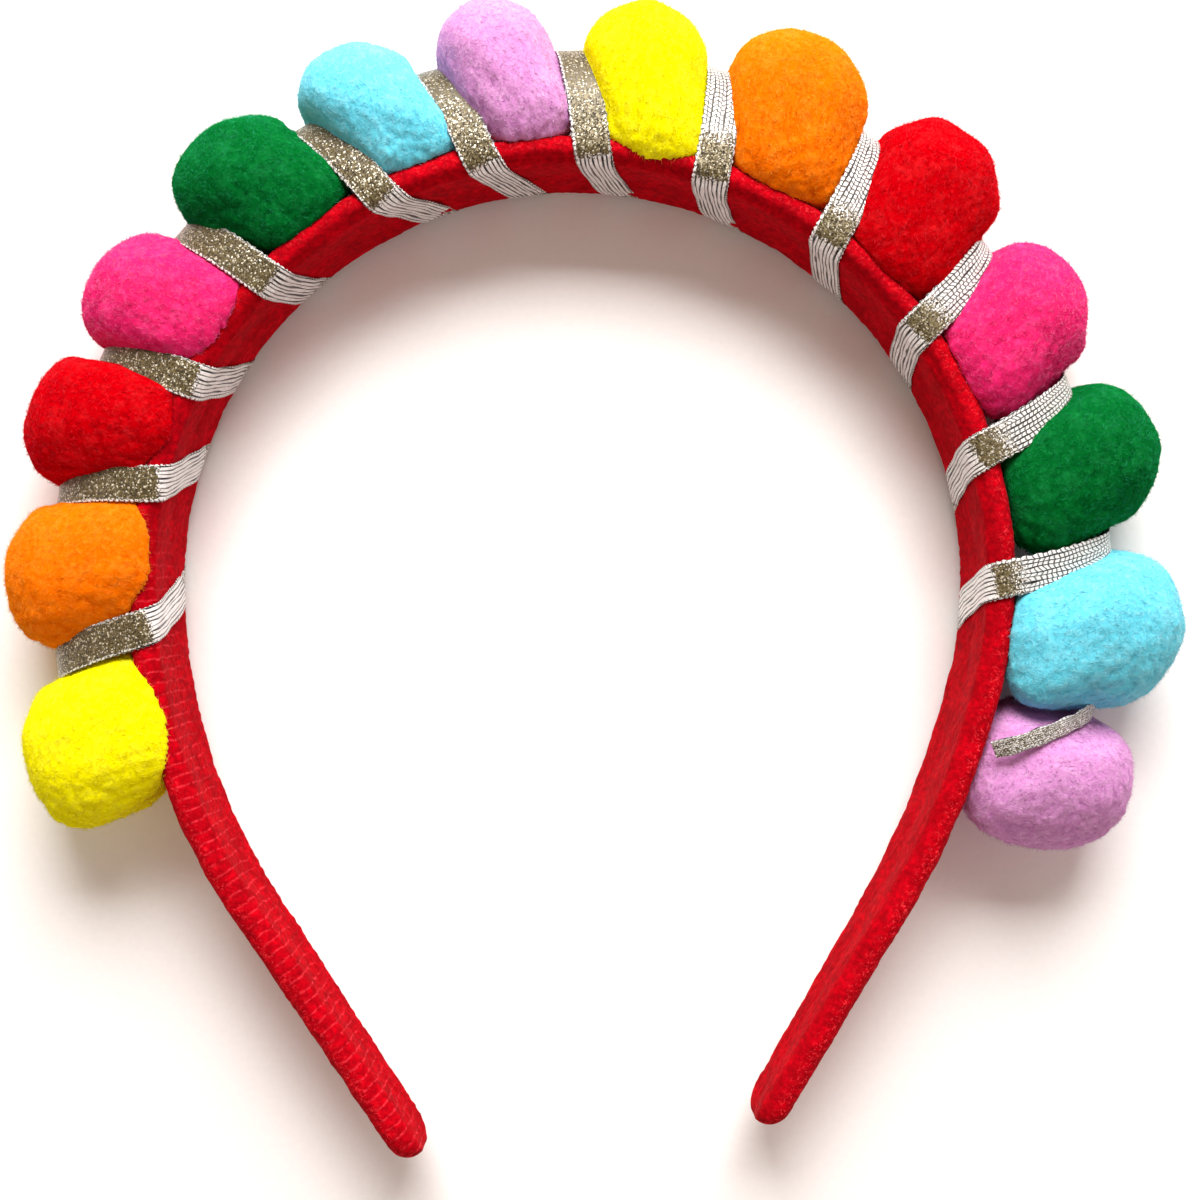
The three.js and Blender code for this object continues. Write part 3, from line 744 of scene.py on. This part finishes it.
def pompom_points(ball, ways, rise):
    """Points of a pompom's pile in the given unit directions (along the band, outwards, up), raised by
    rise. A ball filled out towards a box, |x|^n + |y|^n + |z|^n = 1, is scaled to its half sizes and given
    relief. Then what passes a neighbour's plane, the ribbon, the band or the table is pressed back."""
    fullness = (2.08 + 0.5 * ease(-0.1, 0.7, -ways[:, 1]))[:, None]
    full = ways * (np.abs(ways) ** fullness).sum(1, keepdims=True) ** (-1 / fullness)
    relief = pile_relief(ball, in_world(ball, ways))[0]
    size = full * ball_half[ball] + ways * (rise + relief)[:, None]
    size[:, 0] *= POMPOM_TRIM[ball]
    # It is squeezed against its neighbours, so it is fuller towards them.
    towards = np.where(ways[:, 0] > 0, ball < 13, ball > 0)
    size[:, 0] *= 1 + 0.1 * towards * ease(0, 0.35, np.abs(ways[:, 0]))
    # The ribbon draws the front of a ball along with it, most where it turns over the band's edge, and as
    # far as the two turns beside it are shifted there. The looser right half is drawn less.
    near_band = ease(gap_depth[ball + 1], 3, size[:, 1] + ball_reach[ball] / 2 + half)
    drawn = 0.155 * near_band * ease(-3, 7, size[:, 2])
    pull = RIBBON_SHIFTS[max(ball - 1, 0) : ball + 1, 1].mean()
    drawn = drawn * (1 + size[:, 1] / 90) * (22 + 6.5 * pull) * (1 if ball < 8 else 0.85)
    drawn = drawn - 1.5 * ease(-9, 3, size[:, 1]) * ease(-3, 7, size[:, 2])
    # Its front leans in over the band's edge.
    outwards = size[:, 1] - POMPOM_OVERHANG[ball] * ease(1, 9, size[:, 2]) * ease(4, -8, size[:, 1])
    points = ball_middle[ball] + (size[:, :1] + drawn[:, None]) * ball_along[ball]
    points = points + outwards[:, None] * ball_out[ball]
    points[:, 2] += size[:, 2]
    for other in (ball - 1, ball + 1):
        if 0 <= other < len(ball_place):
            away = ball_middle[other] - ball_middle[ball]
            share = ball_half[ball, 0] / (ball_half[ball, 0] + ball_half[other, 0])
            start = ball_middle[ball] + away * share
            away = away / np.linalg.norm(away)
            # The last pompom but one lies partly over the last.
            away[2] -= {(12, 13): 0.55, (13, 12): -0.55}.get((ball, other), 0)
            away /= np.linalg.norm(away)
            # In front, the two part where the ribbon runs between them.
            past = (points - start) @ away + 0.1
            first = min(ball, other)
            if first < 12:
                run_place, run_depth = off_band(ribbon_route(first + np.linspace(0.31, 0, 24))[0])
                drift = np.interp(off_band(points)[1], run_depth, run_place - gap_place[first + 1])
                past = past - (other - ball) * drift * ease(-5, 5, points[:, 2] - BAND_HEIGHT)
            points = points - press(past, 1.0)[:, None] * away
    # The ribbon before it and the ribbon after it press it back to their sides. The last one only sinks in.
    for turn in (ball - 1, ball):
        if turn < 0 or turn > 12 or (turn, ball) == (12, 12):
            continue
        route, off = ribbon_route(turn + np.linspace(0, 0.31, 32))
        route_way = np.gradient(route, axis=0)
        route_way /= np.linalg.norm(route_way, axis=1, keepdims=True)
        nearest = np.argmin(((points[:, None] - route) ** 2).sum(-1), 1)
        apart = points - route[nearest]
        above = (apart * off[nearest]).sum(1)
        own_side = np.cross(route_way, off)
        forwards = np.sign((own_side * ball_along[ball]).sum(1, keepdims=True))
        own_side *= forwards * (1 if turn < ball else -1)
        sideways = (apart * own_side[nearest]).sum(1)
        if turn == 12:
            sink = np.maximum(0, above + 0.1) * ease(3.4, 2.2, np.abs(sideways)) * ease(12, 10, above)
            points = points - sink[:, None] * off[nearest]
        else:
            clear = (2.5 - 1.5 * ease(6, 15, off_band(route)[1]))[nearest]
            held = ease(-0.8, 0.6, above) * ease(11, 6, above) * ease(9, 6, sideways)
            points = points + (held * press(clear - sideways, 1.4))[:, None] * own_side[nearest]
    # The band holds it off sideways, up to its rounded edge.
    place, depth = off_band(points)
    over = np.maximum(0, np.abs(points[:, 2] - BAND_HEIGHT) - band_width(place) / 2 + half)
    limit = half + np.sqrt(np.maximum(0, (half + 0.15) ** 2 - over**2))
    push = np.where(over < half + 0.15, press(limit - depth, 0.2), 0)
    points = points + push[:, None] * on_band(place)[1]
    points[:, 2] = press(points[:, 2] - 0.1, 0.4)
    return points


def spread_ways(count):
    """Unit directions spread evenly: even steps down in height, each turned on by the golden angle."""
    step = np.arange(count) + 0.5
    high = 1 - 2 * step / count
    turn = step * np.pi * (3 - np.sqrt(5))
    wide = np.sqrt(1 - high**2)
    return np.stack([wide * np.cos(turn), wide * np.sin(turn), high], -1)


PILE_RINGS = 86
PILE_COLUMNS = 136
STRAY_FIBRES = 9200


def pompom_mesh(ball):
    """The pile's surface, as rings round its outward axis, and its stray fibres: each stands out of the
    surface, leans at random, and is a spike with three corners round its foot. Also each point's mark from
    0 in a crease to 1 at a fibre's tip, for painted shade in the creases and painted highlights at the
    tips."""
    polar, around = np.meshgrid(
        np.linspace(0, np.pi, PILE_RINGS + 2)[1:-1],
        np.linspace(0, 2 * np.pi, PILE_COLUMNS, endpoint=False),
        indexing="ij",
    )
    grid = np.stack([np.sin(polar) * np.cos(around), np.cos(polar), np.sin(polar) * np.sin(around)], -1)
    poles = np.array([[0.0, 1.0, 0.0], [0.0, -1.0, 0.0]])
    ways = np.concatenate([grid.reshape(-1, 3), poles])
    points = pompom_points(ball, ways, np.full(len(ways), -0.35))
    # The surface's mark is lower in the creases, where it is painted darker as shade.
    surface_shade_mark = 0.7 - 0.38 * pile_relief(ball, in_world(ball, ways))[1]
    rings = points[:-2].reshape(PILE_RINGS, PILE_COLUMNS, 3)
    points, triangles, _ = skin(
        rings, points[-2:], np.arange(PILE_RINGS), np.arange(PILE_COLUMNS + 1)
    )
    random = np.random.default_rng(ball)
    count = STRAY_FIBRES
    feet = spread_ways(count)
    lean = 0.7 * random.normal(size=(count, 3))
    lean -= (lean * feet).sum(1, keepdims=True) * feet
    tips = feet + lean / RELIEF_RADIUS
    tips /= np.linalg.norm(tips, axis=1, keepdims=True)
    foot = pompom_points(ball, feet, np.full(count, -0.6))
    tip = pompom_points(ball, tips, 0.6 * random.uniform(0, 1, count) ** 2 - 0.14)
    axis = tip - foot
    side = np.cross(axis, random.normal(size=(count, 3)))
    side /= np.maximum(np.linalg.norm(side, axis=1, keepdims=True), 1e-9)
    third = np.cross(axis, side)
    third /= np.maximum(np.linalg.norm(third, axis=1, keepdims=True), 1e-9)
    width = random.uniform(0.035, 0.07, (count, 1))
    corners = [foot + width * (np.cos(a) * side + np.sin(a) * third) for a in np.radians([0, 120, 240])]
    fibres = np.stack([*corners, tip], 1)
    # None goes into the table.
    fibres[..., 2] = np.maximum(fibres[..., 2], 0.01)
    first = len(points) + 4 * np.arange(count)[:, None, None]
    fibre_triangles = (first + np.array([[0, 1, 3], [1, 2, 3], [2, 0, 3], [0, 2, 1]])).reshape(-1, 3)
    # Fibre feet are painted a little shaded and fibre tips get a painted highlight.
    shade_and_highlight_mark = np.concatenate([surface_shade_mark, np.tile([0.6, 0.6, 0.6, 0.9], count)])
    points = np.concatenate([points, fibres.reshape(-1, 3)])
    return points, np.concatenate([triangles, fibre_triangles]), shade_and_highlight_mark


def yarn_material(name, painted_shade_colour, body, pale_and_highlight_colour):
    """Acrylic yarn, cut: matt, with light passing a little way into the pile. It is painted deeper in
    colour in the creases as painted shade, paler at the fibres' tips as painted highlight, and uneven over
    3 mm and over 1 mm."""
    material, tree = new_material(name)
    place = add_node(tree, "ShaderNodeTexCoord")
    along = add_node(tree, "ShaderNodeAttribute", attribute_name="tip")
    broad = add_node(
        tree, "ShaderNodeTexNoise", {"Vector": place.outputs["Object"]}, {"Scale": 300, "Detail": 2.0}
    )
    fine = add_node(
        tree, "ShaderNodeTexNoise", {"Vector": place.outputs["Object"]}, {"Scale": 800, "Detail": 2.0}
    )
    to_body = add_node(
        tree, "ShaderNodeMapRange", {0: along.outputs["Fac"]}, {1: 0.0, 2: 0.75, 3: 0.0, 4: 1.0}
    )
    crease_shaded = add_node(
        tree, "ShaderNodeMix", {0: to_body.outputs[0]}, {6: colour(painted_shade_colour), 7: colour(body)}, data_type="RGBA"
    )
    both = add_node(
        tree, "ShaderNodeMath", {0: broad.outputs["Fac"], 1: fine.outputs["Fac"]}, operation="ADD"
    )
    to_light = add_node(
        tree, "ShaderNodeMapRange", {0: both.outputs[0]}, {1: 0.95, 2: 1.25, 3: 0.0, 4: 0.2}
    )
    uneven = add_node(
        tree, "ShaderNodeMix", {0: to_light.outputs[0], 6: crease_shaded.outputs[2]}, {7: colour(pale_and_highlight_colour)},
        data_type="RGBA",
    )
    # Single fibres and their curls, too fine for the mesh, drawn 0.7 mm apart: painted highlights on tips
    # and curls, painted shade in hollows.
    curls = add_node(
        tree, "ShaderNodeTexNoise", {"Vector": place.outputs["Object"]},
        {"Scale": 1500, "Detail": 3.0, "Roughness": 0.6, "Distortion": 1.0},
    )
    hollow_shade_range = add_node(
        tree, "ShaderNodeMapRange", {0: curls.outputs["Fac"]}, {1: 0.47, 2: 0.34, 3: 0.0, 4: 0.14}
    )
    hollow_shade = add_node(
        tree, "ShaderNodeMix", {0: hollow_shade_range.outputs[0], 6: uneven.outputs[2]}, {7: colour(painted_shade_colour)},
        data_type="RGBA",
    )
    tip_highlight_range = add_node(
        tree, "ShaderNodeMapRange", {0: along.outputs["Fac"]}, {1: 0.75, 2: 1.0, 3: 0.0, 4: 1.0}
    )
    curl_highlight_range = add_node(
        tree, "ShaderNodeMapRange", {0: curls.outputs["Fac"]}, {1: 0.54, 2: 0.68, 3: 0.0, 4: 0.3}
    )
    tip_highlight_share = add_node(
        tree, "ShaderNodeMath", {0: tip_highlight_range.outputs[0], 1: curl_highlight_range.outputs[0]}, operation="MAXIMUM"
    )
    tip_highlighted = add_node(
        tree, "ShaderNodeMix", {0: tip_highlight_share.outputs[0], 6: hollow_shade.outputs[2]}, {7: colour(pale_and_highlight_colour)},
        data_type="RGBA",
    )
    relief = add_node(
        tree, "ShaderNodeMath", {0: fine.outputs["Fac"], 1: curls.outputs["Fac"]}, operation="ADD"
    )
    bump = add_node(
        tree, "ShaderNodeBump", {"Height": relief.outputs[0]}, {"Strength": 0.5, "Distance": 0.0003}
    )
    yarn = add_node(
        tree, "ShaderNodeBsdfPrincipled", {"Base Color": tip_highlighted.outputs[2], "Normal": bump.outputs[0]},
        {"Roughness": 0.95, "Specular IOR Level": 0.0, "Sheen Weight": 0.14, "Sheen Roughness": 0.35,
         "Sheen Tint": colour(pale_and_highlight_colour), "Subsurface Weight": 0.3, "Subsurface Radius": (1, 1, 1),
         "Subsurface Scale": 0.001},
    )
    add_node(tree, "ShaderNodeOutputMaterial", {0: yarn.outputs[0]})
    return material


# Each yarn: its painted shade colour, its body colour, and a paler colour for random patches and painted
# highlights.
yarns = {
    "yellow": yarn_material("yellow_yarn", "dacc00", "f4ec04", "fcf83c"),
    "orange": yarn_material("orange_yarn", "cc4c00", "f07204", "ff9c30"),
    "red": yarn_material("red_yarn", "8c0006", "b80009", "e0282c"),
    "pink": yarn_material("pink_yarn", "b40a50", "e4246a", "f860a4"),
    "green": yarn_material("green_yarn", "00300c", "046024", "20904c"),
    "cyan": yarn_material("cyan_yarn", "44b0c8", "68d2e8", "a8eaf6"),
    "lilac": yarn_material("lilac_yarn", "a860a8", "d08ec8", "ecc0e4"),
}
for ball, shade in enumerate(list(yarns) * 2):
    points, triangles, shade_and_highlight_mark = pompom_mesh(ball)
    pompom = make_piece(
        f"yarn_pompom_{ball + 1:02d}_{shade}", points, triangles, yarns[shade], tip=shade_and_highlight_mark
    )
    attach(pompom, "root")
    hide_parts(f"pompom_{ball + 1:02d}_{shade}")


# The table: a wide white sheet under the headband, lit so strongly that it is white in the picture but for
# the soft shadows.
white_sheet, tree = new_material("matt_white_sheet")
place = add_node(tree, "ShaderNodeTexCoord")
grain = add_node(
    tree, "ShaderNodeTexNoise", {"Vector": place.outputs["Object"]}, {"Scale": 900, "Detail": 2.0}
)
paper = add_node(
    tree, "ShaderNodeMix", {0: grain.outputs["Fac"]}, {6: colour("f4f3f3"), 7: colour("fbfafa")},
    data_type="RGBA",
)
sheet = add_node(
    tree, "ShaderNodeBsdfPrincipled", {"Base Color": paper.outputs[2]}, {"Roughness": 0.8}
)
add_node(tree, "ShaderNodeOutputMaterial", {0: sheet.outputs[0]})
floor_mesh = bpy.data.meshes.new("floor")
floor_mesh.from_pydata([(-2, -2, 0), (2, -2, 0), (2, 2, 0), (-2, 2, 0)], [], [(0, 1, 2, 3)])
floor_mesh.materials.append(white_sheet)
floor = bpy.data.objects.new("floor", floor_mesh)
bpy.context.scene.collection.objects.link(floor)

# One wide soft lamp stands beyond the crown, a little to the right, and a pale room fills the shadows. The
# room is darker above, a little to the left, which the ribbon's flat parts mirror.
lamp_data = bpy.data.lights.new("soft_lamp", "AREA")
lamp_data.shape = "RECTANGLE"
lamp_data.size = 0.6
lamp_data.size_y = 0.45
lamp_data.energy = 13.8
lamp_data.color = (1.0, 0.985, 0.965)
lamp = bpy.data.objects.new("soft_lamp", lamp_data)
lamp.location = (0.04, 0.66, 0.55)
bpy.context.scene.collection.objects.link(lamp)
lamp.rotation_euler = lamp.location.to_track_quat("Z", "Y").to_euler()
world = bpy.data.worlds.new("pale_room")
bpy.context.scene.world = world
world.use_nodes = True
tree = world.node_tree
tree.nodes.clear()
place = add_node(tree, "ShaderNodeTexCoord")
towards = add_node(
    tree, "ShaderNodeVectorMath", {0: place.outputs["Generated"]}, {1: (-0.25, 0.1, 0.963)},
    operation="DOT_PRODUCT",
)
dim = add_node(
    tree, "ShaderNodeMapRange", {0: towards.outputs["Value"]}, {1: 0.76, 2: 0.86, 3: 0.0, 4: 1.0}
)
room = add_node(
    tree, "ShaderNodeMix", {0: dim.outputs[0]}, {6: colour("ffe9e0"), 7: colour("a8987c")}, data_type="RGBA"
)
glow = add_node(tree, "ShaderNodeBackground", {"Color": room.outputs[2]}, {"Strength": 0.62})
add_node(tree, "ShaderNodeOutputWorld", {0: glow.outputs[0]})
bpy.context.scene.view_settings.view_transform = "Standard"
